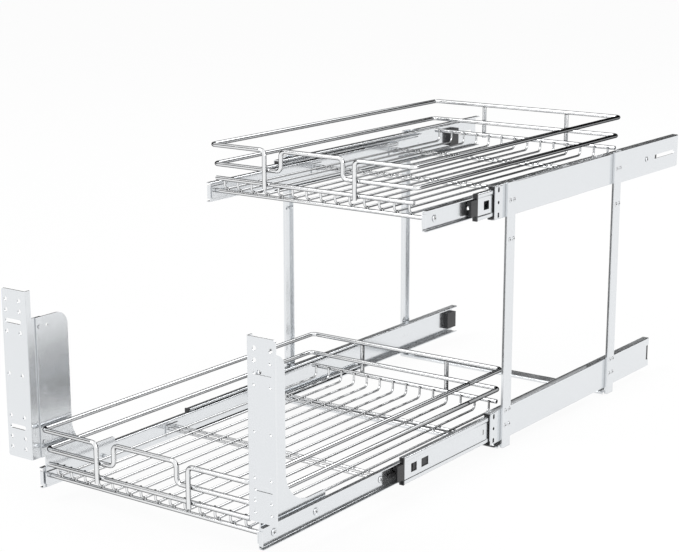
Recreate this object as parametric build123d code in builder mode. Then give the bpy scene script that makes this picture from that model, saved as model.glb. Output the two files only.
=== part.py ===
from build123d import *
import os

os.makedirs("parts", exist_ok=True)

# Two-tier pull-out wire basket for a base cabinet, in millimetres.
# +X right, +Y into the cabinet, +Z up. x = 0 is the centre plane, y = 0 the front edge
# of the front posts and z = 0 the cabinet floor. The lower basket is drawn fully out,
# the upper one part of the way.

# ---- frame ----
frame_width = 375.0        # over the outer faces of the posts
post_pitch = 307.0         # front post to rear post
post_width = 20.0
post_depth = 5.0           # from the post's face to the slide's face
post_height = 366.0
post_sheet = 1.5
post_bend = 2.2
bar_width = 24.0           # floor bars, one under each pair of posts
bar_height = 4.0
bar_sheet = 1.5
bar_shift = -3.0           # bar centre from post centre
bar_tab_rise = 26.0        # end tab that stands inside the post
floor_hole = 5.0
floor_hole_inset = 37.5    # from the post's face

# ---- slides ----
slide_height = 45.5        # over the outer rail
slide_thickness = 12.7     # outer rail's face to the basket rail's face
outer_length = 481.0
outer_overhang = 26.0      # outer rail in front of the front post
outer_flange = 11.6
outer_lip = 2.4
rail_sheet = 1.2
lower_slide_base = 9.0     # underside of the lower slides
upper_slide_base = 319.0
middle_height = 35.6
middle_length = 406.0
middle_setback = 38.5      # middle rail behind the outer rail's front when closed
middle_back = 2.6          # middle rail's back from the outer rail's face
middle_flange = 8.6
middle_rib = 0.9           # set-back centre of the middle rail
middle_rib_height = 23.0
inner_height = 26.6
inner_length = 454.0
inner_flange = 6.8
travel = 485.0             # closed to fully open
upper_pull = 155.0         # how far the upper basket is drawn out
rail_bend = 1.6            # outside bend of the rails' sheet
rib_ramp = 1.2
front_hole_place = 8.5     # fixing holes behind the outer rail's front
front_hole = 4.4
front_slot_rise = 17.0
front_slot_length = 7.5
front_slot_width = 4.0
recess_depth = 8.0         # recess in the outer rail's rear end
recess_height = 23.0
window_height = 11.6       # windows in the middle rail
window_lengths = (13.0, 16.0)
window_places = (22.6, 47.9)
middle_slot_place = 191.0
middle_slot_width = 2.4
front_tab = 18.0           # turned-in front end of the basket rail

# ---- ball cages ----
cage_sheet = 0.6
outer_cage_start = 134.0   # from the outer rail's front, closed
outer_cage_length = 192.0
inner_cage_start = 182.0
inner_cage_length = 149.0
balls_per_row = 4
ball_fit = 0.15            # all-round gap of a ball between its rails

# ---- end stops and bumpers ----
stop_front = 2.5           # stop's face bar, in front of the middle rail
stop_inset = 6.4           # face bar's width across the slide
stop_block = 16.0          # block in front of the middle rail, around the lever
block_half = 10.5
block_chamfer = 1.5
stop_tail = 12.0           # tail held behind the middle rail's web
bumper_length = 8.0
rear_bumper_length = 25.0
rear_bumper_height = 26.0
tongue_depth = 9.3         # tongue's inward face, from the outer rail's face
tongue_base = 4.0          # tongue's underside above the slide's centre
gap = 0.4                  # running gap between sliding pieces
seat = 0.1                 # gap between pieces that are fastened together

# ---- release levers ----
lever_reach = 101.0        # pivot to finger tip
lever_catch = 74.6         # pivot to the catch's front face
lever_height = 4.6
lever_drop = 1.8           # finger's underside below the slide's centre
catch_rise = 6.5           # catch's top above the slide's centre
lever_pin = 4.0
pin_fit = 0.08
pin_head = 0.5
pivot_rise = 0.5           # pivot above the slide's centre
lever_sheet = 3.2
lever_gap = 1.7            # between the rail's web and the lever
catch_length = 8.0

# ---- baskets ----
rim_inset = 8.6            # rims' centre lines from the slide's inward face
basket_depth = 554.0       # front to rear centre line of the top rim
rim_wire = 6.0
floor_wire = 3.0
front_cross_wire = 5.5
cross_wire = 4.0
top_rim_rise = 89.8        # above the underside of the slide
middle_rim_rise = 63.2
low_rim_rise = 44.3
floor_rise = 29.0
rim_corner = 7.0
floor_bend = 7.0
gap_share = 0.447          # the top rim's down-turned ends, as a share of its half width
hump_share = 0.307         # sides of the middle rim's hump, likewise
low_rim_inset = 3.2        # low rims' ends from the rims' centre lines
leg_below = 5.0            # wire ends below the low rims
floor_wire_count = 14
floor_wire_inset = 13.0    # first floor wire from the rims' centre lines
front_cross_place = 11.0   # behind the basket rail's front
mid_cross_place = 240.0
rear_cross_place = 440.0
cross_pair = 14.0          # spacing of the doubled cross wires
lug_height = 16.0
lug_sheet = 1.8
front_lug_length = 36.0
front_lug_place = 20.0
pair_lug_length = 26.0
front_screw_place = 26.0   # screw lines behind the basket rail's front
second_screw_place = 106.0
screw_thread = 5.0
screw_head = 9.0
screw_head_height = 1.6
screw_tip = 3.0            # length past the lug

# ---- door brackets ----
door_plate_width = 40.0
door_plate_bottom = 60.0
door_plate_top = 273.0
door_plate_lead = 17.0     # plate's face in front of the basket rail
door_sheet = 1.8
door_flange = 24.0         # deep part of the return flange
door_lip = 9.0             # narrow part of the return flange, above the arm
door_hole = 5.5
door_hole_pitch = 22.8     # across the plate
door_row_pitch = 13.4
door_slot_length = 27.0
arm_top = 238.0
arm_front = 15.0           # arm's front edge behind the plate's face
arm_rear = 68.0            # arm's rear edge behind the plate's face
arm_foot_rear = 144.0      # foot's rear end behind the plate's face
arm_foot_top = 53.0
arm_foot_step = 6.0        # foot's front edge behind the arm's front edge
arm_corner = 18.0
arm_sweep = 44.0
bracket_screw_high = 226.0
bracket_screw_low = 80.0
bracket_screw_depth = 19.5 # behind the plate's face
spare_screw_depth = 33.0
bracket_screw = 4.0
bracket_screw_head = 1.8
bracket_screw_tip = 1.5
door_corner = 3.0
door_column_share = 0.55   # middle of the hole columns, across the plate
arm_toe = 3.0

# ---- rear brackets of the upper slides ----
sleeve_start = 331.0
sleeve_length = 192.0
sleeve_flange = 8.0
sleeve_fit = 0.2
sleeve_sheet = 1.5
sleeve_slot_length = 70.0
sleeve_slot_width = 6.0
sleeve_slot_inset = 47.0   # slot centre from the rear end
sleeve_screw_place = 108.0 # from the rear end
sleeve_first_screw = 14.0  # from the front end

# ---- rivets ----
rivet = 3.2
rivet_head = 6.0
rivet_head_height = 0.9
rivet_spacing = 10.0
spare_hole_rise = 21.0     # above the lower rivets
spare_hole_drop = 52.6     # below the upper rivets
rivet_fit = 0.1

slide_face = frame_width / 2 - post_depth          # outer rails' outward faces
rail_face = slide_face - slide_thickness           # basket rails' inward faces
slide_half = slide_height / 2
middle_half = middle_height / 2
inner_half = inner_height / 2
outer_front = -outer_overhang
slide_base = {"lower": lower_slide_base, "upper": upper_slide_base}
pull = {"lower": travel, "upper": upper_pull}
sides = {"left": -1, "right": 1}
post_fronts = {"front": 0, "rear": post_pitch}
rim_half = rail_face - rim_inset
rim_gap_half = rim_half * gap_share
hump_half = rim_half * hump_share
low_rim_half = rim_half - low_rim_inset
floor_wire_pitch = 2 * (rim_half - floor_wire_inset) / (floor_wire_count - 1)
catch_place = middle_setback + travel / 2 + gap    # from the basket rail's front
pivot_place = catch_place + lever_catch
screw_places = {
    "lower": (front_screw_place, second_screw_place, mid_cross_place, rear_cross_place),
    "upper": (front_screw_place, mid_cross_place, rear_cross_place),
}


def slide_centre(tier):
    return slide_base[tier] + slide_half


def rail_front(tier):
    return outer_front - pull[tier]


def middle_front(tier):
    return outer_front + middle_setback - pull[tier] / 2


def across(side, y, z):
    """Plane across a slide: local x runs inward from the outer rail's face, local y up."""
    return Plane(origin=(side * slide_face, y, z), x_dir=(-side, 0, 0), z_dir=(0, side, 0))


def along(side, x, y, z):
    """Plane parallel to the object's side: local x runs into the cabinet, local y up."""
    return Plane(origin=(side * x, y, z), x_dir=(0, 1, 0), z_dir=(1, 0, 0))


def plan(side, z):
    """Level plane: local x runs outward from the centre plane, local y into the cabinet."""
    return Plane(origin=(0, 0, z), x_dir=(side, 0, 0), z_dir=(0, 0, side))


def finish(piece, label):
    piece.part.label = label
    export_step(piece.part, f"parts/{label}.step")


def bent_sheet(points, sheet, radius, hand):
    """Face of a bent sheet whose outer side follows the given points."""
    with BuildLine() as outline:
        FilletPolyline(*points, radius=radius)
        offset(amount=sheet, side=hand)
    make_face(outline.edges())


def box_at(side, inward, y, z):
    """Box between pairs of inward, y and z values measured as in the slide's section."""
    places = (side * (slide_face - sum(inward) / 2), sum(y) / 2, sum(z) / 2)
    with Locations(places):
        Box(inward[1] - inward[0], y[1] - y[0], z[1] - z[0])


# ---- slides ----
def outer_rail(side, tier):
    z = slide_centre(tier)
    lip = slide_half - outer_lip
    with BuildPart() as rail:
        with BuildSketch(across(side, outer_front, z)):
            bent_sheet(
                [
                    (outer_flange, -lip),
                    (outer_flange, -slide_half),
                    (0, -slide_half),
                    (0, slide_half),
                    (outer_flange, slide_half),
                    (outer_flange, lip),
                ],
                rail_sheet, rail_bend, Side.RIGHT,
            )
        extrude(amount=side * outer_length)
        # fixing holes in front of the post, and the recess in the web's rear end
        with BuildSketch(along(side, slide_face, outer_front, z)):
            with Locations((front_hole_place, 0)):
                Circle(front_hole / 2)
            with Locations((front_hole_place, front_slot_rise), (front_hole_place, -front_slot_rise)):
                SlotOverall(front_slot_length, front_slot_width, rotation=90)
            with Locations((outer_length, 0)):
                Rectangle(2 * recess_depth, recess_height)
        # rivet holes over the posts
            for front in post_fronts.values():
                with Locations((front + post_width / 2 - outer_front, 0)):
                    with GridLocations(rivet_spacing, 0, 2, 1):
                        Circle(rivet / 2 + rivet_fit)
            if tier == "upper":
                with Locations(*[(y - outer_front, 0) for y in sleeve_screw_ys()]):
                    Circle(bracket_screw / 2 + rivet_fit)
        extrude(amount=rail_sheet * 2, both=True, mode=Mode.SUBTRACT)
    return rail


def middle_rail(side, tier):
    z = slide_centre(tier)
    front = middle_front(tier)
    tip = middle_back + middle_flange
    lip = middle_half - outer_lip
    rib = middle_rib_height / 2
    with BuildPart() as rail:
        with BuildSketch(across(side, front, z)):
            bent_sheet(
                [
                    (tip, -lip),
                    (tip, -middle_half),
                    (middle_back, -middle_half),
                    (middle_back, -rib - rib_ramp),
                    (middle_back + middle_rib, -rib),
                    (middle_back + middle_rib, rib),
                    (middle_back, rib + rib_ramp),
                    (middle_back, middle_half),
                    (tip, middle_half),
                    (tip, lip),
                ],
                rail_sheet, rail_bend, Side.RIGHT,
            )
        extrude(amount=side * middle_length)
        # two windows behind the stop, and an upright slot further back
        with BuildSketch(along(side, slide_face - middle_back, front, z)):
            for place, length in zip(window_places, window_lengths):
                with Locations((place, 0)):
                    Rectangle(length, window_height)
            with Locations((middle_slot_place, 0)):
                SlotOverall(front_slot_length, middle_slot_width, rotation=90)
        extrude(amount=rail_sheet * 2, both=True, mode=Mode.SUBTRACT)
    return rail


def inner_rail(side, tier):
    z = slide_centre(tier)
    front = rail_front(tier)
    tip = slide_thickness - inner_flange
    with BuildPart() as rail:
        with BuildSketch(across(side, front, z)):
            bent_sheet(
                [
                    (tip, -inner_half),
                    (slide_thickness, -inner_half),
                    (slide_thickness, inner_half),
                    (tip, inner_half),
                ],
                rail_sheet, rail_bend, Side.LEFT,
            )
        extrude(amount=side * inner_length)
        # the web's front end is turned outward into the channel
        box_at(
            side,
            (tip + rail_sheet, slide_thickness - rail_sheet / 2),
            (front, front + rail_sheet),
            (z - front_tab / 2, z + front_tab / 2),
        )
        # headed pin for the release lever
        with BuildSketch(along(side, rail_face + rail_sheet / 2, front, z)):
            with Locations((pivot_place, pivot_rise)):
                Circle(lever_pin / 2)
        extrude(amount=side * (rail_sheet / 2 + lever_gap + lever_sheet + gap + pin_head))
        with BuildSketch(along(side, rail_face + rail_sheet + lever_gap + lever_sheet + gap, front, z)):
            with Locations((pivot_place, pivot_rise)):
                Circle(lever_pin * 0.8)
        extrude(amount=side * pin_head)
        with BuildSketch(along(side, rail_face, front, z)):
            with Locations(*[(y, 0) for y in (front_screw_place, second_screw_place, mid_cross_place, rear_cross_place)]):
                Circle(screw_thread / 2 + rivet_fit)
        extrude(amount=rail_sheet * 2, both=True, mode=Mode.SUBTRACT)
    return rail


def ball_cage(side, tier, start, length, back, half, row_rise, row_depth, ball):
    """U-shaped strip that carries a row of balls above and one below."""
    z = slide_centre(tier)
    reach = row_depth + ball / 2 + cage_sheet / 2
    with BuildPart() as cage:
        with BuildSketch(across(side, start, z)):
            bent_sheet(
                [(reach, -half), (back, -half), (back, half), (reach, half)],
                cage_sheet, cage_sheet * 1.5, Side.RIGHT,
            )
        extrude(amount=side * length)
        pitch = length / balls_per_row
        rows = [
            (side * (slide_face - row_depth), start + (number + 0.5) * pitch, z + rise)
            for number in range(balls_per_row)
            for rise in (-row_rise, row_rise)
        ]
        with Locations(*rows):
            Sphere(ball / 2)
    return cage


def outer_cage(side, tier):
    space = slide_half - rail_sheet - middle_half
    rise = middle_half + space / 2
    web_space = middle_back - rail_sheet
    return ball_cage(
        side, tier,
        start=outer_front + outer_cage_start - pull[tier] / 4,
        length=outer_cage_length,
        back=rail_sheet + (web_space - cage_sheet) / 2,
        half=rise + cage_sheet / 2,
        row_rise=rise,
        row_depth=outer_flange / 2,
        ball=space - 2 * ball_fit,
    )


def inner_cage(side, tier):
    space = middle_half - rail_sheet - inner_half
    rise = inner_half + space / 2
    web_back = middle_back + middle_rib + rail_sheet
    web_space = slide_thickness - inner_flange - web_back
    return ball_cage(
        side, tier,
        start=outer_front + inner_cage_start - pull[tier] * 3 / 4,
        length=inner_cage_length,
        back=web_back + (web_space - cage_sheet) / 2,
        half=rise + cage_sheet / 2,
        row_rise=rise,
        row_depth=slide_thickness - inner_flange + 2,
        ball=space - 2 * ball_fit,
    )


def end_stop(side, tier):
    """Moulded stop on the middle rail's front end, with a tongue that catches the lever."""
    z = slide_centre(tier)
    front = middle_front(tier)
    tip = slide_thickness - inner_flange
    web = middle_back + middle_rib + rail_sheet
    passage = inner_half + gap
    with BuildPart() as stop:
        with BuildSketch(across(side, front - seat, z)):
            with Locations((middle_back + stop_inset / 2, 0)):
                Rectangle(stop_inset, middle_height)
            with Locations((tip - gap + slide_thickness / 2, 0)):
                Rectangle(slide_thickness, 2 * passage, mode=Mode.SUBTRACT)
        extrude(amount=-side * stop_front)
        # block over the basket rail's open side, and the tongue inside that rail
        reach = (front - seat - stop_block, front - seat)
        box_at(side, (middle_back, tip - gap), reach, (z - block_half, z + block_half))
        box_at(side, (middle_back, tongue_depth), reach, (z + tongue_base, z + block_half))
        nose = stop.edges().filter_by(Axis.X).group_by(Axis.Y)[0]
        chamfer(nose, length=block_chamfer)
        box_at(
            side,
            (web + seat, tip - gap),
            (front - seat, front + stop_tail),
            (z - block_half, z + block_half),
        )
    return stop


def release_lever(side, tier):
    """Flat lever on the basket rail: its catch meets the stop, its finger shows in front."""
    z = slide_centre(tier)
    pivot = rail_front(tier) + pivot_place
    with BuildPart() as lever:
        with BuildSketch(along(side, rail_face + rail_sheet + lever_gap, pivot, z)):
            with BuildLine():
                Polyline(
                    (0, -lever_drop),
                    (-lever_reach, -lever_drop),
                    (-lever_reach, lever_height - lever_drop),
                    (-lever_catch, lever_height - lever_drop),
                    (-lever_catch, catch_rise),
                    (-lever_catch + catch_length, catch_rise),
                    (-lever_catch + 2 * catch_length, lever_height - lever_drop),
                    (0, lever_height - lever_drop),
                    close=True,
                )
            make_face()
            with Locations((0, pivot_rise)):
                Circle(lever_pin)
                Circle(lever_pin / 2 + pin_fit, mode=Mode.SUBTRACT)
        extrude(amount=side * lever_sheet)
        finger = lever.edges().filter_by(Axis.X).group_by(Axis.Y)[0]
        fillet(finger, radius=lever_height / 3)
    return lever


def front_bumpers():
    passage = middle_half + gap
    with BuildPart() as bumpers:
        for side in sides.values():
            for tier in slide_base:
                with BuildSketch(across(side, outer_front, slide_centre(tier))):
                    top = slide_half - rail_sheet - seat
                    left = rail_sheet + seat
                    right = outer_flange - rail_sheet - seat
                    with Locations(((left + right) / 2, 0)):
                        RectangleRounded(right - left, 2 * top, rail_bend - rail_sheet + seat)
                    with Locations((middle_back - gap + slide_thickness / 2, 0)):
                        Rectangle(slide_thickness, 2 * passage, mode=Mode.SUBTRACT)
                extrude(amount=side * bumper_length)
    return bumpers


def rear_bumpers():
    rear = outer_front + outer_length
    with BuildPart() as bumpers:
        for side in sides.values():
            for tier in slide_base:
                z = slide_centre(tier)
                box_at(
                    side,
                    (rail_sheet + seat, outer_flange - outer_lip),
                    (rear - rear_bumper_length, rear - seat),
                    (z - rear_bumper_height / 2, z + rear_bumper_height / 2),
                )
    return bumpers


# ---- frame ----
def post(side, front):
    with BuildPart() as upright:
        with BuildSketch(plan(side, 0)):
            bent_sheet(
                [
                    (slide_face, front),
                    (frame_width / 2, front),
                    (frame_width / 2, front + post_width),
                    (slide_face, front + post_width),
                ],
                post_sheet, post_bend, Side.LEFT,
            )
        extrude(amount=side * post_height)
        rows = [slide_centre(tier) for tier in slide_base]
        rows += [slide_centre("lower") + spare_hole_rise, slide_centre("upper") - spare_hole_drop]
        with BuildSketch(along(side, frame_width / 2, front + post_width / 2, 0)):
            for row in rows:
                with Locations((0, row)):
                    with GridLocations(rivet_spacing, 0, 2, 1):
                        Circle(rivet / 2 + rivet_fit)
        extrude(amount=post_sheet * 2, both=True, mode=Mode.SUBTRACT)
    return upright


def floor_bar(front):
    """Shallow channel on the cabinet floor with an upturned tab inside each post."""
    centre = front + post_width / 2 + bar_shift
    tab_width = post_width - 2 * post_bend
    tab_face = frame_width / 2 - post_sheet - seat
    with BuildPart() as bar:
        with BuildSketch(Plane(origin=(seat - slide_face, centre, 0), x_dir=(0, 1, 0), z_dir=(1, 0, 0))):
            bent_sheet(
                [
                    (-bar_width / 2, 0),
                    (-bar_width / 2, bar_height),
                    (bar_width / 2, bar_height),
                    (bar_width / 2, 0),
                ],
                bar_sheet, bar_sheet * 1.2, Side.RIGHT,
            )
        extrude(amount=2 * (slide_face - seat))
        for side in sides.values():
            with BuildSketch(Plane(origin=(0, front + (post_width - tab_width) / 2, 0), x_dir=(side, 0, 0), z_dir=(0, -side, 0))):
                bent_sheet(
                    [
                        (slide_face - post_width, bar_height - bar_sheet),
                        (tab_face, bar_height - bar_sheet),
                        (tab_face, bar_height + bar_tab_rise),
                    ],
                    bar_sheet, bar_sheet * 1.2, Side.LEFT,
                )
            extrude(amount=-side * tab_width)
        with BuildSketch(Plane(origin=(0, centre, 0), x_dir=(1, 0, 0), z_dir=(0, 0, 1))):
            with GridLocations(2 * (frame_width / 2 - floor_hole_inset), 0, 2, 1):
                Circle(floor_hole / 2)
        extrude(amount=bar_height * 2, mode=Mode.SUBTRACT)
    return bar


def sleeve_screw_ys():
    rear = sleeve_start + sleeve_length
    return (sleeve_start + sleeve_first_screw, rear - sleeve_screw_place)


def rear_bracket(side):
    """Channel around the rear of an upper slide, reaching back to the cabinet wall."""
    z = slide_centre("upper")
    half = slide_half + sleeve_fit + sleeve_sheet
    back = -sleeve_fit - sleeve_sheet
    rear = sleeve_start + sleeve_length
    with BuildPart() as sleeve:
        with BuildSketch(across(side, sleeve_start, z)):
            bent_sheet(
                [(sleeve_flange, -half), (back, -half), (back, half), (sleeve_flange, half)],
                sleeve_sheet, sleeve_sheet * 1.3, Side.RIGHT,
            )
        extrude(amount=side * sleeve_length)
        with BuildSketch(along(side, slide_face + sleeve_fit, 0, z)):
            with Locations((rear - sleeve_slot_inset, 0)):
                SlotOverall(sleeve_slot_length, sleeve_slot_width)
            with Locations(*[(y, 0) for y in sleeve_screw_ys()]):
                Circle(bracket_screw / 2 + rivet_fit)
        extrude(amount=sleeve_sheet * 2, both=True, mode=Mode.SUBTRACT)
    return sleeve


def frame_rivets():
    with BuildPart() as rivets:
        for side in sides.values():
            for tier in slide_base:
                for front in post_fronts.values():
                    centre = front + post_width / 2
                    with BuildSketch(along(side, slide_face - rail_sheet, centre, slide_centre(tier))):
                        with GridLocations(rivet_spacing, 0, 2, 1):
                            Circle(rivet / 2)
                    extrude(amount=side * (rail_sheet + post_depth))
                    with BuildSketch(along(side, frame_width / 2, centre, slide_centre(tier))):
                        with GridLocations(rivet_spacing, 0, 2, 1):
                            Circle(rivet_head / 2)
                    extrude(amount=side * rivet_head_height, taper=30)
            # screws of the rear brackets
            for y in sleeve_screw_ys():
                with BuildSketch(along(side, slide_face - rail_sheet, y, slide_centre("upper"))):
                    Circle(bracket_screw / 2)
                extrude(amount=side * (rail_sheet + sleeve_fit + sleeve_sheet))
                with BuildSketch(along(side, slide_face + sleeve_fit + sleeve_sheet, y, slide_centre("upper"))):
                    Circle(bracket_screw)
                extrude(amount=side * bracket_screw_head, taper=20)
    return rivets


# ---- baskets ----
def rim_front(tier):
    return rail_front(tier) - rim_wire


def rim_rear(tier):
    return rim_front(tier) + basket_depth


def rod(points, diameter, radius, close=False):
    """Round wire bent along the given points."""
    with BuildPart() as wire:
        with BuildLine() as path:
            FilletPolyline(*points, radius=radius, close=close)
        with BuildSketch(Plane(origin=path.line @ 0, z_dir=path.line % 0)):
            Circle(diameter / 2)
        sweep(path=path.line)
    return wire


def top_rim(tier):
    x = rim_half
    front, rear = rim_front(tier), rim_rear(tier)
    top = slide_base[tier] + top_rim_rise
    low = slide_base[tier] + low_rim_rise - leg_below
    return rod(
        [
            (-rim_gap_half, front, low),
            (-rim_gap_half, front, top),
            (-x, front, top),
            (-x, rear, top),
            (x, rear, top),
            (x, front, top),
            (rim_gap_half, front, top),
            (rim_gap_half, front, low),
        ],
        rim_wire, rim_corner,
    )


def middle_rim(tier):
    x = rim_half
    front, rear = rail_front(tier), rim_rear(tier) - rim_wire
    level = slide_base[tier] + middle_rim_rise
    hump = slide_base[tier] + top_rim_rise
    return rod(
        [
            (0, rear, level),
            (x, rear, level),
            (x, front, level),
            (hump_half, front, level),
            (hump_half, front, hump),
            (-hump_half, front, hump),
            (-hump_half, front, level),
            (-x, front, level),
            (-x, rear, level),
        ],
        rim_wire, [0] + 8 * [rim_corner], close=True,
    )


def low_rims(tier):
    level = slide_base[tier] + low_rim_rise
    with BuildPart() as rims:
        for y in (rail_front(tier), rim_rear(tier) - rim_wire):
            with BuildSketch(Plane(origin=(-low_rim_half, y, level), x_dir=(0, 1, 0), z_dir=(1, 0, 0))):
                Circle(rim_wire / 2)
            extrude(amount=2 * low_rim_half)
    return rims


def rear_uprights(tier):
    low = slide_base[tier] + low_rim_rise - leg_below
    top = slide_base[tier] + top_rim_rise - rim_wire / 2
    with BuildPart() as uprights:
        with BuildSketch(Plane(origin=(0, rim_rear(tier), low))):
            with GridLocations(2 * rim_gap_half, 0, 2, 1):
                Circle(rim_wire / 2)
        extrude(amount=top - low)
    return uprights


def floor_wires(tier):
    shift = (rim_wire + floor_wire) / 2
    front, rear = rail_front(tier) + shift, rim_rear(tier) - rim_wire - shift
    floor = slide_base[tier] + floor_rise
    top = slide_base[tier] + low_rim_rise + floor_wire / 2
    first = -(floor_wire_count - 1) / 2 * floor_wire_pitch
    one = rod(
        [(first, front, top), (first, front, floor), (first, rear, floor), (first, rear, top)],
        floor_wire, floor_bend,
    )
    with BuildPart() as wires:
        with Locations(*[(number * floor_wire_pitch, 0, 0) for number in range(floor_wire_count)]):
            add(one.part)
    return wires


def lug_face(tier, place):
    """Inward distance of a lug's outer face: the front lugs of the lower basket clear the arm."""
    if tier == "lower" and place == front_lug_place:
        return rail_face - door_sheet
    return rail_face


def cross_wires(tier):
    floor_under = slide_base[tier] + floor_rise - floor_wire / 2
    wires_at = [(front_cross_place, front_cross_wire, front_lug_place)]
    for place in (mid_cross_place, rear_cross_place):
        for shift in (-cross_pair / 2, cross_pair / 2):
            wires_at.append((place + shift, cross_wire, place))
    with BuildPart() as wires:
        for place, diameter, lug_place in wires_at:
            half = lug_face(tier, lug_place) - lug_sheet
            centre = (-half, rail_front(tier) + place, floor_under - diameter / 2)
            with BuildSketch(Plane(origin=centre, x_dir=(0, 1, 0), z_dir=(1, 0, 0))):
                Circle(diameter / 2)
            extrude(amount=2 * half)
    return wires


def lugs(tier):
    """Small plates on the ends of the cross wires, tapped for the rail screws."""
    lug_list = (
        (front_lug_place, front_lug_length, front_screw_place),
        (mid_cross_place, pair_lug_length, mid_cross_place),
        (rear_cross_place, pair_lug_length, rear_cross_place),
    )
    with BuildPart() as plates:
        for side in sides.values():
            for place, length, screw in lug_list:
                face = lug_face(tier, place)
                with BuildSketch(along(side, face, rail_front(tier), slide_centre(tier))):
                    with Locations((place, 0)):
                        RectangleRounded(length, lug_height, lug_sheet)
                    with Locations((screw, 0)):
                        Circle(screw_thread / 2 + rivet_fit, mode=Mode.SUBTRACT)
                extrude(amount=-side * lug_sheet)
    return plates


def rail_screws(tier):
    with BuildPart() as screws:
        for side in sides.values():
            for place in screw_places[tier]:
                y = rail_front(tier) + place
                head_face = rail_face + rail_sheet
                shank = rail_sheet + door_sheet + lug_sheet + screw_tip
                with BuildSketch(along(side, head_face, y, slide_centre(tier))):
                    Circle(screw_thread / 2)
                extrude(amount=-side * shank)
                with BuildSketch(along(side, head_face, y, slide_centre(tier))):
                    Circle(screw_head / 2)
                extrude(amount=side * screw_head_height, taper=25)
    return screws


# ---- door brackets ----
def plate_face():
    return rail_front("lower") - door_plate_lead


def door_plate(side):
    """Angle that carries the cabinet door: a drilled face and a return flange."""
    face = plate_face()
    outer_edge = rail_face + door_plate_width
    height = door_plate_top - door_plate_bottom
    middle = (door_plate_top + door_plate_bottom) / 2
    with BuildPart() as plate:
        with BuildSketch(plan(side, door_plate_bottom)):
            bent_sheet(
                [(outer_edge, face), (rail_face, face), (rail_face, face + door_flange)],
                door_sheet, door_sheet * 1.1, Side.RIGHT,
            )
        extrude(amount=side * height)
        # above the arm the flange narrows to a lip
        with BuildSketch(along(side, rail_face, face, 0)):
            with Locations(((door_lip + door_flange) / 2 + door_lip / 2, (arm_top + door_plate_top) / 2 + seat)):
                Rectangle(door_flange, door_plate_top - arm_top)
        extrude(amount=door_sheet * 2, both=True, mode=Mode.SUBTRACT)
        corners = plate.edges().filter_by(Axis.Y).group_by(Axis.X)[-1 if side > 0 else 0]
        fillet(corners, radius=door_corner)
        columns = rail_face + door_plate_width * door_column_share
        with BuildSketch(Plane(origin=(side * columns, face, middle), x_dir=(1, 0, 0), z_dir=(0, -1, 0))):
            for row in (-7, -6, -4, 0, 4, 6, 7):
                with Locations((0, row * door_row_pitch)):
                    with GridLocations(door_hole_pitch, 0, 2, 1):
                        Circle(door_hole / 2)
            with Locations((0, 5 * door_row_pitch), (0, -5 * door_row_pitch)):
                SlotOverall(door_slot_length, door_hole)
        extrude(amount=-2 * door_sheet, mode=Mode.SUBTRACT)
        with BuildSketch(along(side, rail_face, face + bracket_screw_depth, 0)):
            with Locations((0, bracket_screw_high), (0, bracket_screw_low)):
                Circle(bracket_screw / 2 + rivet_fit)
        extrude(amount=door_sheet * 2, both=True, mode=Mode.SUBTRACT)
    return plate


def bracket_arm(side):
    """Flat arm screwed between the lower basket's rail and its front lug."""
    face = plate_face()
    foot_front = arm_front + arm_foot_step
    foot_bottom = slide_centre("lower") - inner_half + rail_sheet
    with BuildPart() as arm:
        with BuildSketch(along(side, rail_face, face, 0)):
            with BuildLine():
                Polyline(
                    (arm_front, door_plate_bottom),
                    (arm_front, arm_top),
                    (arm_rear, arm_top),
                    (arm_rear, arm_foot_top),
                    (arm_foot_rear, arm_foot_top),
                    (arm_foot_rear, foot_bottom),
                    (foot_front, foot_bottom),
                    (foot_front, door_plate_bottom),
                    close=True,
                )
            outline = make_face()
            corners = outline.vertices()
            fillet(corners.group_by(Axis.Z)[-1].sort_by(Axis.Y)[-1], radius=arm_corner)
        extrude(amount=-side * door_sheet)
        heel = arm.edges().filter_by(Axis.X).sort_by(lambda edge: abs(edge.center().Y - face - arm_rear) + abs(edge.center().Z - arm_foot_top))
        fillet(heel[0], radius=arm_sweep)
        toe = arm.edges().filter_by(Axis.X).group_by(Axis.Y)[-1]
        fillet(toe, radius=arm_toe)
        with BuildSketch(along(side, rail_face, face, 0)):
            with Locations(
                (bracket_screw_depth, bracket_screw_high),
                (bracket_screw_depth, bracket_screw_low),
                (spare_screw_depth, bracket_screw_high),
            ):
                Circle(bracket_screw / 2 + rivet_fit)
            with Locations(
                (door_plate_lead + front_screw_place, slide_centre("lower")),
                (door_plate_lead + second_screw_place, slide_centre("lower")),
            ):
                Circle(screw_thread / 2 + rivet_fit)
        extrude(amount=door_sheet * 2, both=True, mode=Mode.SUBTRACT)
    return arm


def bracket_screws():
    with BuildPart() as screws:
        for side in sides.values():
            for z in (bracket_screw_high, bracket_screw_low):
                with BuildSketch(along(side, rail_face + door_sheet, plate_face() + bracket_screw_depth, z)):
                    Circle(bracket_screw / 2)
                extrude(amount=-side * (2 * door_sheet + bracket_screw_tip))
                with BuildSketch(along(side, rail_face + door_sheet, plate_face() + bracket_screw_depth, z)):
                    Circle(bracket_screw)
                extrude(amount=side * bracket_screw_head, taper=20)
    return screws


for where, front in post_fronts.items():
    finish(floor_bar(front), f"floor_bar_{where}")
    for hand, side in sides.items():
        finish(post(side, front), f"post_{where}_{hand}")

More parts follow.
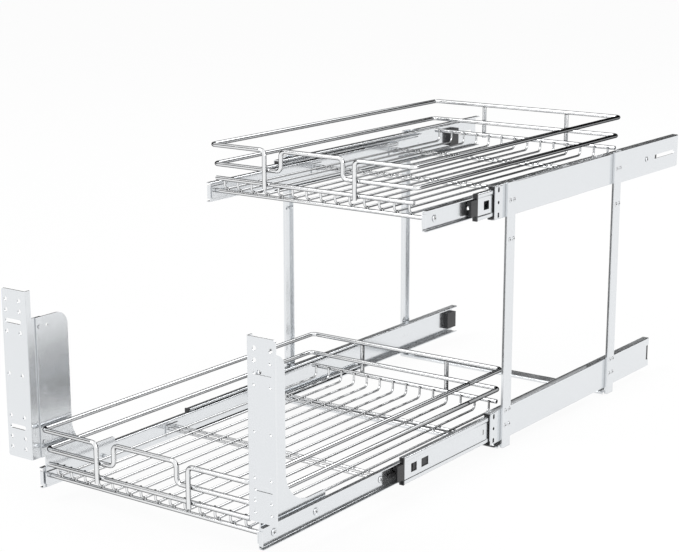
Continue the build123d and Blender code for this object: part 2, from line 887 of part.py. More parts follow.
for tier in slide_base:
    for hand, side in sides.items():
        finish(outer_rail(side, tier), f"outer_rail_{tier}_{hand}")
        finish(outer_cage(side, tier), f"outer_cage_{tier}_{hand}")
        finish(middle_rail(side, tier), f"middle_rail_{tier}_{hand}")
        finish(end_stop(side, tier), f"end_stop_{tier}_{hand}")
        finish(inner_cage(side, tier), f"inner_cage_{tier}_{hand}")
        finish(inner_rail(side, tier), f"basket_rail_{tier}_{hand}")
        finish(release_lever(side, tier), f"release_lever_{tier}_{hand}")
    finish(top_rim(tier), f"{tier}_basket_top_rim")
    finish(middle_rim(tier), f"{tier}_basket_middle_rim")
    finish(low_rims(tier), f"{tier}_basket_low_rims")
    finish(rear_uprights(tier), f"{tier}_basket_rear_uprights")
    finish(floor_wires(tier), f"{tier}_basket_floor_wires")
    finish(cross_wires(tier), f"{tier}_basket_cross_wires")
    finish(lugs(tier), f"{tier}_basket_lugs")
    finish(rail_screws(tier), f"{tier}_basket_screws")

for hand, side in sides.items():
    finish(rear_bracket(side), f"rear_bracket_{hand}")
    finish(door_plate(side), f"door_plate_{hand}")
    finish(bracket_arm(side), f"bracket_arm_{hand}")

finish(front_bumpers(), "front_bumpers")
finish(rear_bumpers(), "rear_bumpers")
finish(frame_rivets(), "frame_rivets")
finish(bracket_screws(), "bracket_screws")
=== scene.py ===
import math
import bpy
from mathutils import Matrix, Vector


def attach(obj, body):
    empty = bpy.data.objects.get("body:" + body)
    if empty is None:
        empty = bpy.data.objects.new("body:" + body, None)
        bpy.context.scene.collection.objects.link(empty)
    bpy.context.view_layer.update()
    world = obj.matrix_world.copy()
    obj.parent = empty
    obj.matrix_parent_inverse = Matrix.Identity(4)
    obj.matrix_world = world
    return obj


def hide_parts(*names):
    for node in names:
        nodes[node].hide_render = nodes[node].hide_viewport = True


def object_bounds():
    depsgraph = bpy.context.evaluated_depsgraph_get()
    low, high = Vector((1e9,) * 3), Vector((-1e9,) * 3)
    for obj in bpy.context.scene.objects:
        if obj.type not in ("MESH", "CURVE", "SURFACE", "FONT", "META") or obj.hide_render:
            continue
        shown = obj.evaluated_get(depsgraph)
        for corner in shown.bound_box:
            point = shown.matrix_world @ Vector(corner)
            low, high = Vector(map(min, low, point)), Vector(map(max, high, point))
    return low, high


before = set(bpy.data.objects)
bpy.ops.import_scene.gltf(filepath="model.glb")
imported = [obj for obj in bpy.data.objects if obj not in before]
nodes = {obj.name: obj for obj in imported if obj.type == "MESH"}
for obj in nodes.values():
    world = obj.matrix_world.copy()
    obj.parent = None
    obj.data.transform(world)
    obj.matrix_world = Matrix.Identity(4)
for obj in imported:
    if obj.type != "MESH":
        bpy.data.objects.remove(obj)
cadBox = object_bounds()
scene = bpy.context.scene


cameraSettings = {
    "place": (1.29388, -1.91223, 0.75418),
    "azimuth": 35.53,
    "elevation": 14.42,
    "lens": 90.28,
    "sensor": 36.0,
    "shiftX": -0.0124,
    "shiftY": 0.0559,
    "farthest": 50,
}


def makeCamera(s):
    data = bpy.data.cameras.new("camera")
    data.sensor_width = s["sensor"]
    data.lens = s["lens"]
    data.shift_x = s["shiftX"]
    data.shift_y = s["shiftY"]
    data.clip_end = s["farthest"]
    camera = bpy.data.objects.new("camera", data)
    a, e = math.radians(s["azimuth"]), math.radians(s["elevation"])
    forward = Vector((-math.sin(a) * math.cos(e), math.cos(a) * math.cos(e), -math.sin(e)))
    right = Vector((math.cos(a), math.sin(a), 0))
    up = right.cross(forward)
    turn = Matrix((right, up, -forward)).transposed()
    camera.matrix_world = Matrix.Translation(s["place"]) @ turn.to_4x4()
    scene.collection.objects.link(camera)
    scene.camera = camera


makeCamera(cameraSettings)
print("camera set")


def newMaterial(name):
    material = bpy.data.materials.new(name)
    material.use_nodes = True
    tree = material.node_tree
    tree.nodes.clear()
    tree.nodes.new("ShaderNodeOutputMaterial")
    shader = tree.nodes.new("ShaderNodeBsdfPrincipled")
    toSurface(tree, shader.outputs["BSDF"])
    return material, tree, shader


def toSurface(tree, shading):
    output = [n for n in tree.nodes if n.type == "OUTPUT_MATERIAL"][0]
    tree.links.new(shading, output.inputs["Surface"])


def addNode(tree, kind, inputs=None, **settings):
    node = tree.nodes.new(kind)
    for key, value in settings.items():
        setattr(node, key, value)
    for key, value in (inputs or {}).items():
        if isinstance(value, bpy.types.NodeSocket):
            tree.links.new(value, node.inputs[key])
        else:
            node.inputs[key].default_value = value
    return node


def mathNode(tree, operation, first, second):
    node = addNode(tree, "ShaderNodeMath", {0: first, 1: second}, operation=operation)
    return node.outputs["Value"]


def newGroup(name, inputs, outputs):
    group = bpy.data.node_groups.new(name, "ShaderNodeTree")
    for label, kind, value in inputs:
        socket = group.interface.new_socket(label, in_out="INPUT", socket_type=kind)
        socket.default_value = value
    for label, kind in outputs:
        group.interface.new_socket(label, in_out="OUTPUT", socket_type=kind)
    return group, group.nodes.new("NodeGroupInput"), group.nodes.new("NodeGroupOutput")


def placeGroup(tree, group, values=None):
    node = tree.nodes.new("ShaderNodeGroup")
    node.node_tree = group
    for key, value in (values or {}).items():
        node.inputs[key].default_value = value
    return node


# fine rolled grain and cloudy patches of a plated sheet, scales per metre
def makeGrainGroup():
    group, enter, leave = newGroup(
        "rolledGrain",
        [
            ("Grain Scale", "NodeSocketFloat", 900.0),
            ("Stretch", "NodeSocketFloat", 0.04),
            ("Cloud Scale", "NodeSocketFloat", 45.0),
        ],
        [("Grain", "NodeSocketFloat"), ("Cloud", "NodeSocketFloat")],
    )
    place = addNode(group, "ShaderNodeTexCoord")
    squeeze = addNode(
        group, "ShaderNodeCombineXYZ", {"X": 1.0, "Y": enter.outputs["Stretch"], "Z": 1.0},
    )
    stretched = addNode(
        group, "ShaderNodeVectorMath",
        {0: place.outputs["Object"], 1: squeeze.outputs["Vector"]}, operation="MULTIPLY",
    )
    grain = addNode(
        group, "ShaderNodeTexNoise",
        {
            "Vector": stretched.outputs["Vector"], "Scale": enter.outputs["Grain Scale"],
            "Detail": 3.0,
        },
    )
    cloud = addNode(
        group, "ShaderNodeTexNoise",
        {
            "Vector": place.outputs["Object"], "Scale": enter.outputs["Cloud Scale"],
            "Detail": 4.0, "Roughness": 0.6,
        },
    )
    group.links.new(grain.outputs["Fac"], leave.inputs["Grain"])
    group.links.new(cloud.outputs["Fac"], leave.inputs["Cloud"])
    return group


# share of a full mask that a value has between two limits
def maskBetween(tree, value, none, full):
    return addNode(
        tree, "ShaderNodeMapRange",
        {"Value": value, "From Min": none, "From Max": full, "To Min": 0.0, "To Max": 1.0},
    ).outputs["Result"]


wearAndShadeSettings = {
    "edgeLimits": (0.995, 0.85),     # cosine between the rounded and the flat normal
    "paintedShadeLimits": (1.0, 0.2),      # painted shade, from open to closed in
    "cornerReach": 0.002,
    "samples": 4,
}


# bright rubbed edges, and painted shade that darkens the corners, both from the shape itself
def makeWearAndShadeGroup(s):
    group, enter, leave = newGroup(
        "edgeWearAndPaintedShade",
        [("Width", "NodeSocketFloat", 0.0012), ("Breakup", "NodeSocketFloat", 220.0)],
        [("Edge", "NodeSocketFloat"), ("PaintedShade", "NodeSocketFloat")],
    )
    place = addNode(group, "ShaderNodeTexCoord")
    bevel = addNode(
        group, "ShaderNodeBevel", {"Radius": enter.outputs["Width"]}, samples=s["samples"],
    )
    flat = addNode(group, "ShaderNodeNewGeometry")
    likeness = addNode(
        group, "ShaderNodeVectorMath",
        {0: bevel.outputs["Normal"], 1: flat.outputs["Normal"]}, operation="DOT_PRODUCT",
    )
    edge = maskBetween(group, likeness.outputs["Value"], *s["edgeLimits"])
    broken = addNode(
        group, "ShaderNodeTexNoise",
        {"Vector": place.outputs["Object"], "Scale": enter.outputs["Breakup"], "Detail": 3.0},
    )
    worn = mathNode(group, "MULTIPLY", edge, broken.outputs["Fac"])
    # ambient occlusion becomes a mask of painted shade for corners and hollows
    shade = addNode(
        group, "ShaderNodeAmbientOcclusion", {"Distance": s["cornerReach"]}, samples=s["samples"],
    )
    corner = maskBetween(group, shade.outputs["AO"], *s["paintedShadeLimits"])
    group.links.new(worn, leave.inputs["Edge"])
    group.links.new(corner, leave.inputs["PaintedShade"])
    return group


grainGroup = makeGrainGroup()
wearAndShadeGroup = makeWearAndShadeGroup(wearAndShadeSettings)


def mixColour(tree, factor, low, high):
    mix = addNode(tree, "ShaderNodeMix", data_type="RGBA")
    for socket, value in (("Factor", factor), ("A", low), ("B", high)):
        named = [i for i in mix.inputs if i.name == socket]
        target = [i for i in named if i.type == "RGBA" or socket == "Factor"][0]
        if isinstance(value, bpy.types.NodeSocket):
            tree.links.new(value, target)
        else:
            target.default_value = value
    return [o for o in mix.outputs if o.type == "RGBA"][0]


cloudSpread = (0.3, 0.7)


# colour of a surface, roughness from its cloud and a fine bump from its grain
def finishSurface(tree, shader, colour, grain, s):
    low, high = cloudSpread
    rough = addNode(
        tree, "ShaderNodeMapRange",
        {
            "Value": grain.outputs["Cloud"], "From Min": low, "From Max": high,
            "To Min": s["smooth"], "To Max": s["rough"],
        },
    )
    bump = addNode(
        tree, "ShaderNodeBump",
        {
            "Height": grain.outputs["Grain"], "Strength": s["bumpStrength"],
            "Distance": s["bumpDepth"],
        },
    )
    tree.links.new(colour, shader.inputs["Base Color"])
    tree.links.new(rough.outputs["Result"], shader.inputs["Roughness"])
    tree.links.new(bump.outputs["Normal"], shader.inputs["Normal"])


zincSettings = {
    "light": (0.80, 0.82, 0.84, 1),
    "dark": (0.77, 0.79, 0.81, 1),
    "rubbed": (0.93, 0.935, 0.94, 1),
    # painted shade for corners and hollows
    "corner": (0.38, 0.39, 0.40, 1),
    "smooth": 0.15,
    "rough": 0.22,
    "bumpStrength": 0.02,
    "bumpDepth": 0.0002,
    "grain": {"Grain Scale": 900.0, "Stretch": 0.04},     # runs into the cabinet
    "metallic": 0.95,
}


def makeZinc(name, s):
    material, tree, shader = newMaterial(name)
    grain = placeGroup(tree, grainGroup, s["grain"])
    wearAndShade = placeGroup(tree, wearAndShadeGroup)
    base = mixColour(tree, grain.outputs["Cloud"], s["dark"], s["light"])
    # painted shade mixed into the corners, then the rubbed edges on top
    withPaintedShade = mixColour(tree, wearAndShade.outputs["PaintedShade"], base, s["corner"])
    rubbed = mixColour(tree, wearAndShade.outputs["Edge"], withPaintedShade, s["rubbed"])
    finishSurface(tree, shader, rubbed, grain, s)
    shader.inputs["Metallic"].default_value = s["metallic"]
    return material


chromeSettings = {
    "bright": (0.90, 0.905, 0.91, 1),
    "dull": (0.80, 0.81, 0.82, 1),
    # painted shade for corners and hollows
    "corner": (0.25, 0.255, 0.26, 1),
    # painted dark reflection along the wires' edges that turn away from the eye
    "outline": (0.07, 0.075, 0.08, 1),
    "outlineStart": 0.25,      # share of the turn away from the eye
    "outlineEnd": 0.70,
    "grazing": (0.15, 0.15, 0.155, 1),
    "smooth": 0.04,
    "rough": 0.13,
    "bumpStrength": 0.02,
    "bumpDepth": 0.0001,
    "grain": {"Grain Scale": 500.0, "Stretch": 0.3, "Cloud Scale": 70.0},
    "wearAndShade": {"Width": 0.0004},
}


def makeChrome(name, s):
    material, tree, shader = newMaterial(name)
    grain = placeGroup(tree, grainGroup, s["grain"])
    wearAndShade = placeGroup(tree, wearAndShadeGroup, s["wearAndShade"])
    base = mixColour(tree, grain.outputs["Cloud"], s["dull"], s["bright"])
    withPaintedShade = mixColour(tree, wearAndShade.outputs["PaintedShade"], base, s["corner"])
    # painted dark reflection along the edges, by how far they turn away from the eye
    turned = addNode(tree, "ShaderNodeLayerWeight", {"Blend": 0.5})
    outline = maskBetween(tree, turned.outputs["Facing"], s["outlineStart"], s["outlineEnd"])
    outlined = mixColour(tree, outline, withPaintedShade, s["outline"])
    finishSurface(tree, shader, outlined, grain, s)
    shader.inputs["Specular Tint"].default_value = s["grazing"]
    shader.inputs["Metallic"].default_value = 1.0
    return material


plasticSettings = {
    "deep": (0.012, 0.012, 0.013, 1),
    "pale": (0.035, 0.035, 0.037, 1),
    "rubbed": (0.10, 0.10, 0.105, 1),
    "smooth": 0.32,
    "rough": 0.5,
    "bumpStrength": 0.25,
    "bumpDepth": 0.0001,
    "grain": {"Grain Scale": 2600.0, "Stretch": 1.0, "Cloud Scale": 120.0},
    "wearAndShade": {"Width": 0.0006},
}


def makePlastic(name, s):
    material, tree, shader = newMaterial(name)
    grain = placeGroup(tree, grainGroup, s["grain"])
    wearAndShade = placeGroup(tree, wearAndShadeGroup, s["wearAndShade"])
    base = mixColour(tree, grain.outputs["Cloud"], s["deep"], s["pale"])
    rubbed = mixColour(tree, wearAndShade.outputs["Edge"], base, s["rubbed"])
    finishSurface(tree, shader, rubbed, grain, s)
    return material


# sheets that stand up, without a direction in their grain
uprightSettings = {**zincSettings, "grain": {"Grain Scale": 900.0, "Stretch": 1.0}}
fastenerSettings = {
    **zincSettings,
    "smooth": 0.18,
    "rough": 0.3,
    # near-black painted shade in the screws' recesses and the rivets' bores
    "corner": (0.03, 0.03, 0.032, 1),
    "grain": {"Grain Scale": 1500.0, "Stretch": 1.0},
}
# the stubs are the rivets' mandrels; their near-black colour is painted shade for the deep bores
stubShadeSettings = {
    **uprightSettings,
    "light": (0.05, 0.05, 0.052, 1),
    "dark": (0.03, 0.03, 0.032, 1),
    "rubbed": (0.10, 0.10, 0.10, 1),
}
zinc = makeZinc("brightZinc", zincSettings)
uprightZinc = makeZinc("uprightZinc", uprightSettings)
fastenerZinc = makeZinc("fastenerZinc", fastenerSettings)
chrome = makeChrome("chromeWire", chromeSettings)
plastic = makePlastic("blackPlastic", plasticSettings)
stubPaintedShade = makeZinc("stubPaintedShade", stubShadeSettings)
print("materials made")


def paint(name, material):
    mesh = nodes[name].data
    mesh.materials.clear()
    mesh.materials.append(material)


wirePieces = ("top_rim", "middle_rim", "low_rims", "rear_uprights", "floor_wires", "cross_wires")
plasticPieces = ("end_stop", "release_lever", "inner_cage", "front_bumpers", "rear_bumpers")
for name in nodes:
    if name.endswith(wirePieces):
        paint(name, chrome)
    elif name.startswith(plasticPieces):
        paint(name, plastic)
    elif name.startswith(("post", "door_plate", "bracket_arm")):
        paint(name, uprightZinc)
    elif name.endswith(("screws", "rivets")):
        paint(name, fastenerZinc)
    else:
        paint(name, zinc)
print("nodes painted")


def newGeometryTree(name, sizes):
    tree = bpy.data.node_groups.new(name, "GeometryNodeTree")
    tree.interface.new_socket("Geometry", in_out="INPUT", socket_type="NodeSocketGeometry")
    for label, value in sizes.items():
        socket = tree.interface.new_socket(label, in_out="INPUT", socket_type="NodeSocketFloat")
        socket.default_value = value
    tree.interface.new_socket("Material", in_out="INPUT", socket_type="NodeSocketMaterial")
    tree.interface.new_socket("Geometry", in_out="OUTPUT", socket_type="NodeSocketGeometry")
    return tree, tree.nodes.new("NodeGroupInput"), tree.nodes.new("NodeGroupOutput")


def joinMeshes(tree, meshes):
    join = tree.nodes.new("GeometryNodeJoinGeometry")
    for mesh in meshes:
        tree.links.new(mesh, join.inputs["Geometry"])
    return join.outputs["Geometry"]


def movedTo(tree, mesh, height):
    shift = addNode(tree, "ShaderNodeCombineXYZ", {"Z": height})
    return addNode(
        tree, "GeometryNodeTransform", {"Geometry": mesh, "Translation": shift.outputs["Vector"]},
    ).outputs["Geometry"]


headSettings = {"segments": 36, "rings": 18, "shoulder": 0.6, "rodSides": 24}


# flat-topped head with round shoulders, standing on z = 0
def domedHead(tree, radius, height):
    s = headSettings
    ball = addNode(
        tree, "GeometryNodeMeshUVSphere",
        {"Segments": s["segments"], "Rings": s["rings"], "Radius": 1.0},
    )
    place = addNode(tree, "GeometryNodeInputPosition")
    parts = addNode(tree, "ShaderNodeSeparateXYZ", {"Vector": place.outputs["Position"]})
    above = mathNode(tree, "MAXIMUM", parts.outputs["Z"], 0.0)
    above = mathNode(tree, "POWER", above, s["shoulder"])
    shaped = addNode(
        tree, "ShaderNodeCombineXYZ",
        {
            "X": mathNode(tree, "MULTIPLY", parts.outputs["X"], radius),
            "Y": mathNode(tree, "MULTIPLY", parts.outputs["Y"], radius),
            "Z": mathNode(tree, "MULTIPLY", above, height),
        },
    )
    moved = addNode(
        tree, "GeometryNodeSetPosition",
        {"Geometry": ball.outputs["Mesh"], "Position": shaped.outputs["Vector"]},
    )
    smooth = addNode(tree, "GeometryNodeSetShadeSmooth", {"Geometry": moved.outputs["Geometry"]})
    return smooth.outputs["Geometry"]


def cutFrom(tree, body, cutters):
    cut = addNode(tree, "GeometryNodeMeshBoolean", operation="DIFFERENCE", solver="EXACT")
    tree.links.new(body, cut.inputs[0])
    for cutter in cutters:
        tree.links.new(cutter, cut.inputs[1])
    return cut.outputs["Mesh"]


def rod(tree, radius, length, middle):
    stick = addNode(
        tree, "GeometryNodeMeshCylinder",
        {"Vertices": headSettings["rodSides"], "Radius": radius, "Depth": length},
    )
    return movedTo(tree, stick.outputs["Mesh"], middle)


# rod from z = 0 down
def shankBelow(tree, size):
    middle = mathNode(tree, "MULTIPLY", size["Shank Length"], -0.5)
    return rod(tree, size["Shank Radius"], size["Shank Length"], middle)


# one copy at each point, its axis along the point's own aim, turned at random about it
def standOnPoints(tree, enter, leave, mesh, seed):
    aim = addNode(
        tree, "GeometryNodeInputNamedAttribute", {"Name": "aim"}, data_type="FLOAT_VECTOR",
    )
    turn = addNode(tree, "FunctionNodeAlignRotationToVector", {"Vector": aim.outputs[0]}, axis="Z")
    copies = addNode(
        tree, "GeometryNodeInstanceOnPoints",
        {
            "Points": enter.outputs["Geometry"], "Instance": mesh,
            "Rotation": turn.outputs["Rotation"],
        },
    )
    chance = addNode(tree, "FunctionNodeRandomValue", {"Seed": seed}, data_type="FLOAT")
    chance.inputs[3].default_value = math.pi
    roll = addNode(tree, "ShaderNodeCombineXYZ", {"Z": chance.outputs[1]})
    rolled = addNode(
        tree, "GeometryNodeRotateInstances",
        {
            "Instances": copies.outputs["Instances"], "Rotation": roll.outputs["Vector"],
            "Local Space": True,
        },
    )
    real = addNode(tree, "GeometryNodeRealizeInstances", {"Geometry": rolled.outputs["Instances"]})
    dressed = addNode(
        tree, "GeometryNodeSetMaterial",
        {"Geometry": real.outputs["Geometry"], "Material": enter.outputs["Material"]},
    )
    tree.links.new(dressed.outputs["Geometry"], leave.inputs["Geometry"])


seeds = {"screws": 3, "rivets": 5, "stubs": 7, "beads": 11}


def makeScrewTree():
    tree, enter, leave = newGeometryTree("crossScrews", {
        "Head Radius": 0.004, "Head Height": 0.0016, "Recess Length": 0.0048,
        "Recess Width": 0.0009, "Recess Depth": 0.001, "Shank Radius": 0.002,
        "Shank Length": 0.006,
    })
    size = enter.outputs
    head = domedHead(tree, size["Head Radius"], size["Head Height"])
    deep = mathNode(tree, "MULTIPLY", size["Recess Depth"], 2.0)
    wings = []
    for wide, tall in (("Recess Length", "Recess Width"), ("Recess Width", "Recess Length")):
        extent = addNode(
            tree, "ShaderNodeCombineXYZ", {"X": size[wide], "Y": size[tall], "Z": deep},
        )
        wing = addNode(tree, "GeometryNodeMeshCube", {"Size": extent.outputs["Vector"]})
        wings.append(movedTo(tree, wing.outputs["Mesh"], size["Head Height"]))
    driven = joinMeshes(tree, [cutFrom(tree, head, wings), shankBelow(tree, size)])
    standOnPoints(tree, enter, leave, driven, seeds["screws"])
    return tree


def makeRivetTree():
    tree, enter, leave = newGeometryTree("blindRivets", {
        "Head Radius": 0.003, "Head Height": 0.0009, "Bore Radius": 0.0012,
        "Shank Radius": 0.0016, "Shank Length": 0.006,
    })
    size = enter.outputs
    head = domedHead(tree, size["Head Radius"], size["Head Height"])
    # the bore stops just above the seat
    through = mathNode(tree, "MULTIPLY", size["Head Height"], 1.9)
    bored = cutFrom(tree, head, [rod(tree, size["Bore Radius"], through, size["Head Height"])])
    whole = joinMeshes(tree, [bored, shankBelow(tree, size)])
    standOnPoints(tree, enter, leave, whole, seeds["rivets"])
    return tree


# low round lumps: the stubs in the rivets, and the welds
def makeLumpTree(name, seed):
    tree, enter, leave = newGeometryTree(name, {"Lump Radius": 0.001, "Lump Height": 0.0004})
    lump = domedHead(tree, enter.outputs["Lump Radius"], enter.outputs["Lump Height"])
    standOnPoints(tree, enter, leave, lump, seed)
    return tree


# runs a tree once over its points and keeps the plain mesh
def grownPiece(name, places, tree, sizes, material, body, node=None):
    points = bpy.data.meshes.new(name + "Points")
    points.from_pydata([place for place, aim in places], [], [])
    aims = points.attributes.new("aim", "FLOAT_VECTOR", "POINT")
    for number, (place, aim) in enumerate(places):
        aims.data[number].vector = aim
    source = bpy.data.objects.new(name + "Points", points)
    scene.collection.objects.link(source)
    modifier = source.modifiers.new("grow", "NODES")
    modifier.node_group = tree
    for socket in tree.interface.items_tree:
        if socket.item_type == "SOCKET" and socket.in_out == "INPUT":
            if socket.name in sizes:
                modifier[socket.identifier] = sizes[socket.name]
            elif socket.name == "Material":
                modifier[socket.identifier] = material
    grown = source.evaluated_get(bpy.context.evaluated_depsgraph_get())
    mesh = bpy.data.meshes.new_from_object(grown)
    mesh.name = name
    bpy.data.objects.remove(source)
    bpy.data.meshes.remove(points)
    piece = bpy.data.objects.new(name, mesh)
    scene.collection.objects.link(piece)
    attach(piece, body)
    if node:
        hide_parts(node)


headFinder = {"flat": 1e-5, "together": 0.001, "widest": 0.98}


# seats, heights and radii of a node's round heads, from its flat round faces
def headPlaces(name):
    mesh = nodes[name].data
    owner = list(range(len(mesh.vertices)))

    def root(index):
        while owner[index] != index:
            index = owner[index]
        return index

    for edge in mesh.edges:
        first, second = root(edge.vertices[0]), root(edge.vertices[1])
        owner[max(first, second)] = min(first, second)
    patches = {}
    for vertex in mesh.vertices:
        patches.setdefault(root(vertex.index), []).append(vertex.co)
    heads = []
    for corners in patches.values():
        across = [p.x for p in corners]
        if max(across) - min(across) > headFinder["flat"]:
            continue
        y0, y1 = min(p.y for p in corners), max(p.y for p in corners)
        z0, z1 = min(p.z for p in corners), max(p.z for p in corners)
        y, z, side = (y0 + y1) / 2, (z0 + z1) / 2, 1 if across[0] > 0 else -1
        disc = (abs(across[0]), (y1 - y0) / 2)
        beside = [h for h in heads if h[2] == side]
        near = [h for h in beside if math.hypot(h[0] - y, h[1] - z) < headFinder["together"]]
        if near:
            near[0][3].append(disc)
        else:
            heads.append((y, z, side, [disc]))
    found = []
    for y, z, side, discs in heads:
        radius = max(disc[1] for disc in discs)
        seat = min(disc[0] for disc in discs if disc[1] > headFinder["widest"] * radius)
        crown, tip = max(disc[0] for disc in discs), min(disc[0] for disc in discs)
        found.append({
            "place": (side * seat, y, z), "aim": (side, 0, 0), "radius": radius,
            "height": crown - seat, "length": seat - tip,
        })
    return found


screwSettings = {
    "headShare": 0.98,         # of the node's head
    "Recess Width": 0.0010,
    "recessShare": 1.05,       # recess length over the head's radius
    "depthShare": 0.85,
    "railShank": 0.0025,
    "thinShank": 0.002,
}


def addScrews(name, heads, shank, body, node, s):
    sample = heads[0]
    height = sample["height"] * s["headShare"]
    sizes = {
        "Head Radius": sample["radius"] * s["headShare"], "Head Height": height,
        "Recess Length": sample["radius"] * s["recessShare"], "Recess Width": s["Recess Width"],
        "Recess Depth": height * s["depthShare"], "Shank Radius": s[shank],
        "Shank Length": sample["length"],
    }
    places = [(h["place"], h["aim"]) for h in heads]
    grownPiece(name, places, screwTree, sizes, fastenerZinc, body, node)


screwTree = makeScrewTree()
for tier in ("lower", "upper"):
    node, body = f"{tier}_basket_screws", f"{tier}_basket"
    addScrews(f"{tier}RailScrews", headPlaces(node), "railShank", body, node, screwSettings)
node, body = "bracket_screws", "lower_basket"
addScrews("doorArmScrews", headPlaces(node), "thinShank", body, node, screwSettings)

rivetSettings = {
    "largest": 0.0035,         # wider heads in the same node are screws
    "boreRadius": 0.00135,
    "shankRadius": 0.0016,
    "headShare": 0.98,         # of the node's head
    "stubHeight": 0.00015,
    "stubRise": 0.0002,        # stubs' base over the rivets' seats
    "pinRadius": 0.0021,
    "pinHeight": 0.0001,
    "sleeveMiddle": 0.38,      # screws behind it have heads, those before it are flush
    "spareRows": (0.05275, 0.28915),
}
frameHeads = headPlaces("frame_rivets")
r = rivetSettings
sleeveHeads = [h for h in frameHeads if h["radius"] > r["largest"]]
rivets = [h for h in frameHeads if h["radius"] <= r["largest"]]
rearHeads = [h for h in sleeveHeads if h["place"][1] > r["sleeveMiddle"]]
addScrews("rearBracketScrews", rearHeads, "thinShank", "frame", None, screwSettings)
# the posts' rivets, and the same again in their spare holes
rivetPlaces = [(h["place"], h["aim"]) for h in rivets]
face = abs(rivets[0]["place"][0])
for y in sorted({h["place"][1] for h in rivets}):
    for rise in r["spareRows"]:
        for side in (-1, 1):
            rivetPlaces.append(((side * face, y, rise), (side, 0, 0)))
rivetSizes = {
    "Head Radius": rivets[0]["radius"] * r["headShare"],
    "Head Height": rivets[0]["height"] * r["headShare"],
    "Bore Radius": r["boreRadius"], "Shank Radius": r["shankRadius"],
    "Shank Length": rivets[0]["length"],
}
grownPiece(
    "rivetHeads", rivetPlaces, makeRivetTree(), rivetSizes, fastenerZinc,
    "frame", "frame_rivets",
)
stubTree = makeLumpTree("mandrelStubs", seeds["stubs"])
stubSizes = {"Lump Radius": r["boreRadius"], "Lump Height": r["stubHeight"]}
stubPlaces = []
for (x, y, z), aim in rivetPlaces:
    stubPlaces.append(((x + aim[0] * r["stubRise"], y, z), aim))
# the stubs carry the near-black painted shade of the bores
grownPiece("rivetStubs", stubPlaces, stubTree, stubSizes, stubPaintedShade, "frame")
pinPlaces = [(h["place"], h["aim"]) for h in sleeveHeads if h not in rearHeads]
pinSizes = {"Lump Radius": r["pinRadius"], "Lump Height": r["pinHeight"]}
grownPiece("flushPins", pinPlaces, stubTree, pinSizes, zinc, "frame")
print("screws and rivets grown")

weldSettings = {
    "wires": 14,
    "pitch": 0.0228,
    "base": {"lower": 0.009, "upper": 0.319},
    "front": {"lower": -0.511, "upper": -0.181},
    "floorRise": 0.029,
    "crossRows": (0.011, 0.233, 0.247, 0.433, 0.447),    # behind the basket's front
    "touch": 0.0017,           # below the floor wires' centres
    "beside": 0.0010,          # to each side of the floor wires' centres
    "lean": 0.35,
    "beadRadius": 0.0019,
    "beadHeight": 0.0013,
}


def weldPlaces(tier, w):
    places = []
    level = w["base"][tier] + w["floorRise"] - w["touch"]
    for number in range(w["wires"]):
        x = (number - (w["wires"] - 1) / 2) * w["pitch"]
        for row in w["crossRows"]:
            y = w["front"][tier] + row
            for side in (-1, 1):
                places.append(((x + side * w["beside"], y, level), (side, 0, w["lean"])))
    return places


beadTree = makeLumpTree("weldBeads", seeds["beads"])
beadSizes = {
    "Lump Radius": weldSettings["beadRadius"], "Lump Height": weldSettings["beadHeight"],
}
for tier in ("lower", "upper"):
    grownPiece(
        f"{tier}WeldBeads", weldPlaces(tier, weldSettings), beadTree, beadSizes, chrome,
        f"{tier}_basket",
    )
print("weld beads grown")


studioSettings = {
    "backdrop": (1.0, 1.0, 1.0, 1),
    "ambient": 0.75,
    "floorSize": 60.0,
    "floorGlow": 0.90,         # share of the floor's white that doesn't depend on the lamps
    "floorTones": ((0.92, 0.92, 0.92, 1), (0.94, 0.94, 0.94, 1)),
    "floorRough": 0.9,
    "floorDrop": 0.0004,       # below the object
    "cardDrop": 0.0002,
    "aim": (0, 0, 0.2),
    "key": {"place": (-1.6, -3.0, 3.0), "size": (2.0, 2.0), "power": 60},
    "fill": {"place": (3.6, -0.6, 1.6), "size": (1.6, 2.4), "power": 40},
    "rim": {"place": (0.4, 3.0, 3.0), "size": (3.0, 1.2), "power": 35},
    # dark cards that only reflections see
    "backCard": {
        "radius": 2.6, "low": 0.55, "high": 1.8, "start": 14, "end": 234, "strips": 48,
        "tone": 0.02,
    },
    # narrow cards seen in the posts' front faces
    "postCards": {
        "posts": [(0.185, 0.0), (0.185, 0.307)], "away": (0.027, 0.05), "width": 0.016,
        "low": 0.02, "high": 0.36, "tone": 0.12,
    },
    # bent card inside the right slide, seen in the left arm
    "bentCard": {
        "side": 0.176, "front": -0.26, "rear": 0.26, "reach": 0.15, "rise": 0.10,
        "core": 0.03, "edge": 0.10, "tone": 0.05,
    },
}


# rays that show a surface itself, and not its light on another
def seenRays(tree):
    rays = addNode(tree, "ShaderNodeLightPath").outputs
    direct = mathNode(tree, "MAXIMUM", rays["Is Camera Ray"], rays["Is Glossy Ray"])
    return mathNode(tree, "MAXIMUM", direct, rays["Is Transmission Ray"])


def makeWorld(s):
    world = bpy.data.worlds.new("studio")
    scene.world = world
    world.use_nodes = True
    tree = world.node_tree
    tree.nodes.clear()
    white = addNode(tree, "ShaderNodeBackground", {"Color": s["backdrop"], "Strength": 1.0})
    dim = addNode(
        tree, "ShaderNodeBackground", {"Color": s["backdrop"], "Strength": s["ambient"]},
    )
    mix = addNode(
        tree, "ShaderNodeMixShader",
        {0: seenRays(tree), 1: dim.outputs["Background"], 2: white.outputs["Background"]},
    )
    output = addNode(tree, "ShaderNodeOutputWorld")
    tree.links.new(mix.outputs["Shader"], output.inputs["Surface"])


def addStage(name, points, faces, material):
    mesh = bpy.data.meshes.new(name)
    mesh.from_pydata(points, [], faces)
    mesh.materials.append(material)
    piece = bpy.data.objects.new(name, mesh)
    scene.collection.objects.link(piece)
    return piece


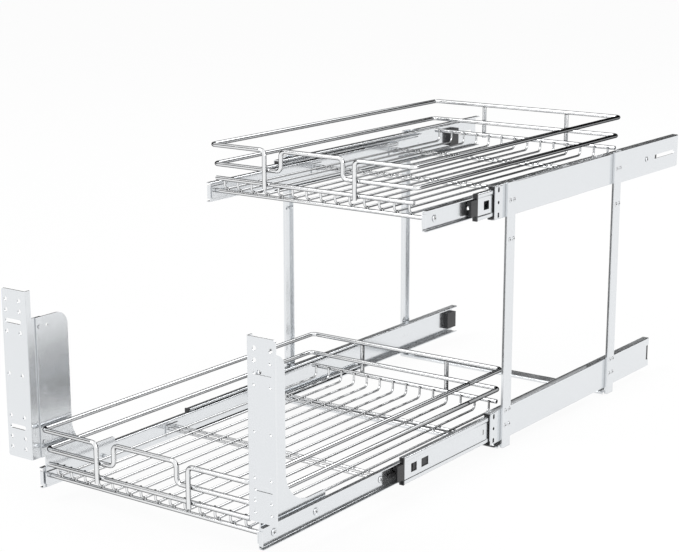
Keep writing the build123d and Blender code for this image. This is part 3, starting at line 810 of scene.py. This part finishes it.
def makeFloor(s):
    half = s["floorSize"] / 2
    level = cadBox[0][2] - s["floorDrop"]
    material, tree, shader = newMaterial("paleFloor")
    shader.inputs["Roughness"].default_value = s["floorRough"]
    place = addNode(tree, "ShaderNodeTexCoord")
    cloud = addNode(tree, "ShaderNodeTexNoise", {"Vector": place.outputs["Object"], "Scale": 3.0})
    tone = mixColour(tree, cloud.outputs["Fac"], *s["floorTones"])
    tree.links.new(tone, shader.inputs["Base Color"])
    glow = addNode(tree, "ShaderNodeEmission", {"Color": s["backdrop"], "Strength": 1.0})
    share = mathNode(tree, "MULTIPLY", seenRays(tree), s["floorGlow"])
    mix = addNode(
        tree, "ShaderNodeMixShader",
        {0: share, 1: shader.outputs["BSDF"], 2: glow.outputs["Emission"]},
    )
    toSurface(tree, mix.outputs["Shader"])
    corners = [(x * half, y * half, level) for x, y in ((-1, -1), (1, -1), (1, 1), (-1, 1))]
    addStage("studioFloor", corners, [(0, 1, 2, 3)], material)


def cardMaterial(name, tone):
    material, tree, shader = newMaterial(name)
    glow = addNode(tree, "ShaderNodeEmission", {"Color": (tone, tone, tone, 1), "Strength": 1.0})
    toSurface(tree, glow.outputs["Emission"])
    return material


# dark along its bend, as white as the floor at its edges
def fadingCardMaterial(name, bend, c):
    material, tree, shader = newMaterial(name)
    place = addNode(tree, "ShaderNodeTexCoord")
    # along the bend every point counts the same
    level = addNode(
        tree, "ShaderNodeVectorMath", {0: place.outputs["Object"], 1: (1, 0, 1)},
        operation="MULTIPLY",
    )
    away = addNode(
        tree, "ShaderNodeVectorMath", {0: level.outputs["Vector"], 1: bend},
        operation="DISTANCE",
    )
    tone = addNode(
        tree, "ShaderNodeMapRange",
        {
            "Value": away.outputs["Value"], "From Min": c["core"], "From Max": c["edge"],
            "To Min": c["tone"], "To Max": 1.0,
        },
        interpolation_type="SMOOTHSTEP",
    )
    glow = addNode(
        tree, "ShaderNodeEmission", {"Color": (1, 1, 1, 1), "Strength": tone.outputs["Result"]},
    )
    toSurface(tree, glow.outputs["Emission"])
    return material


def reflectionsOnly(card):
    card.visible_camera = False
    card.visible_diffuse = False
    card.visible_shadow = False
    card.visible_transmission = False
    card.visible_volume_scatter = False


def makeCards(s):
    b = s["backCard"]
    count = b["strips"]
    points = []
    for number in range(count + 1):
        angle = math.radians(b["start"] + (b["end"] - b["start"]) * number / count)
        x, y = b["radius"] * math.cos(angle), b["radius"] * math.sin(angle)
        points += [(x, y, b["low"]), (x, y, b["high"])]
    faces = [(2 * n, 2 * n + 2, 2 * n + 3, 2 * n + 1) for n in range(count)]
    reflectionsOnly(addStage("backCard", points, faces, cardMaterial("backCard", b["tone"])))
    p = s["postCards"]
    for number, (side, front) in enumerate(p["posts"]):
        x, y = side - p["away"][0], front - p["away"][1]
        left, right = x - p["width"] / 2, x + p["width"] / 2
        corners = [(left, y, p["low"]), (right, y, p["low"])]
        corners += [(right, y, p["high"]), (left, y, p["high"])]
        name = f"postCard{number + 1}"
        reflectionsOnly(addStage(name, corners, [(0, 1, 2, 3)], cardMaterial(name, p["tone"])))
    c = s["bentCard"]
    level = cadBox[0][2] - s["cardDrop"]
    rows = [(c["side"] - c["reach"], level), (c["side"], level), (c["side"], level + c["rise"])]
    points = [(x, y, z) for x, z in rows for y in (c["front"], c["rear"])]
    material = fadingCardMaterial("bentCard", (c["side"], 0, level), c)
    reflectionsOnly(addStage("bentCard", points, [(0, 1, 3, 2), (2, 3, 5, 4)], material))


def makeLamp(name, s, aim):
    data = bpy.data.lights.new(name, "AREA")
    data.shape = "RECTANGLE"
    data.size, data.size_y = s["size"]
    data.energy = s["power"]
    lamp = bpy.data.objects.new(name, data)
    lamp.location = s["place"]
    towards = Vector(aim) - Vector(s["place"])
    lamp.rotation_euler = towards.to_track_quat("-Z", "Y").to_euler()
    scene.collection.objects.link(lamp)


makeWorld(studioSettings)
makeFloor(studioSettings)
makeCards(studioSettings)
for name in ("key", "fill", "rim"):
    makeLamp(name, studioSettings[name], studioSettings["aim"])
scene.view_settings.view_transform = "Standard"
print("studio lit")
